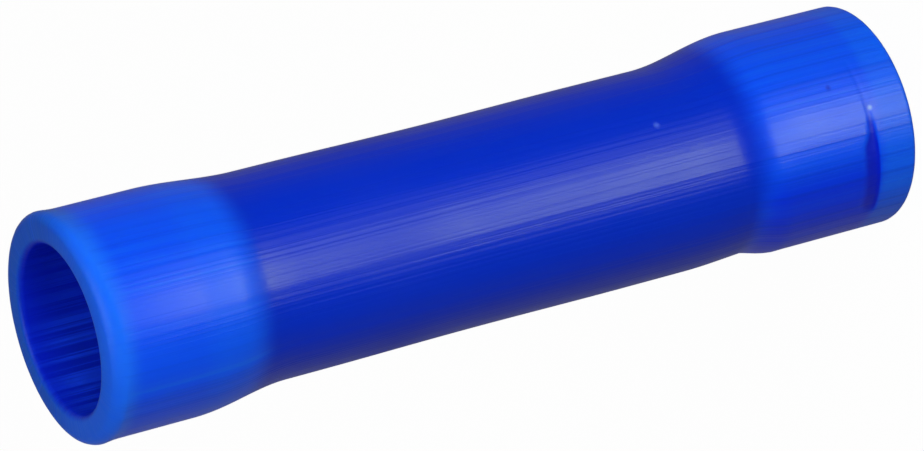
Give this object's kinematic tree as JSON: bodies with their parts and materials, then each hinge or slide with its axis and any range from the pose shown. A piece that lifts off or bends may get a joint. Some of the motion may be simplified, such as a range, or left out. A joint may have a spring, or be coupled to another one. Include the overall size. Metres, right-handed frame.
{
  "type": "butt splice connector",
  "caption": "Insulated crimp splice for joining wires end to end: a tinned copper barrel with a rolled wire stop, inside a blue plastic sleeve with a flared mouth at each end.",
  "frame": {"origin": "centre of the lower rim, on the surface that the connector stands on", "axes": "+Z along the common axis of sleeve and barrel, up from the creased mouth; +X and +Y across it"},
  "size_m": [0.0065, 0.0064, 0.026],
  "materials": {
    "sleeve_plastic": "satin",
    "tinned_copper": "satin"
  },
  "bodies": {
    "root": {"insulating_sleeve": "sleeve_plastic", "crimp_barrel": "tinned_copper"}
  },
  "joints": []
}
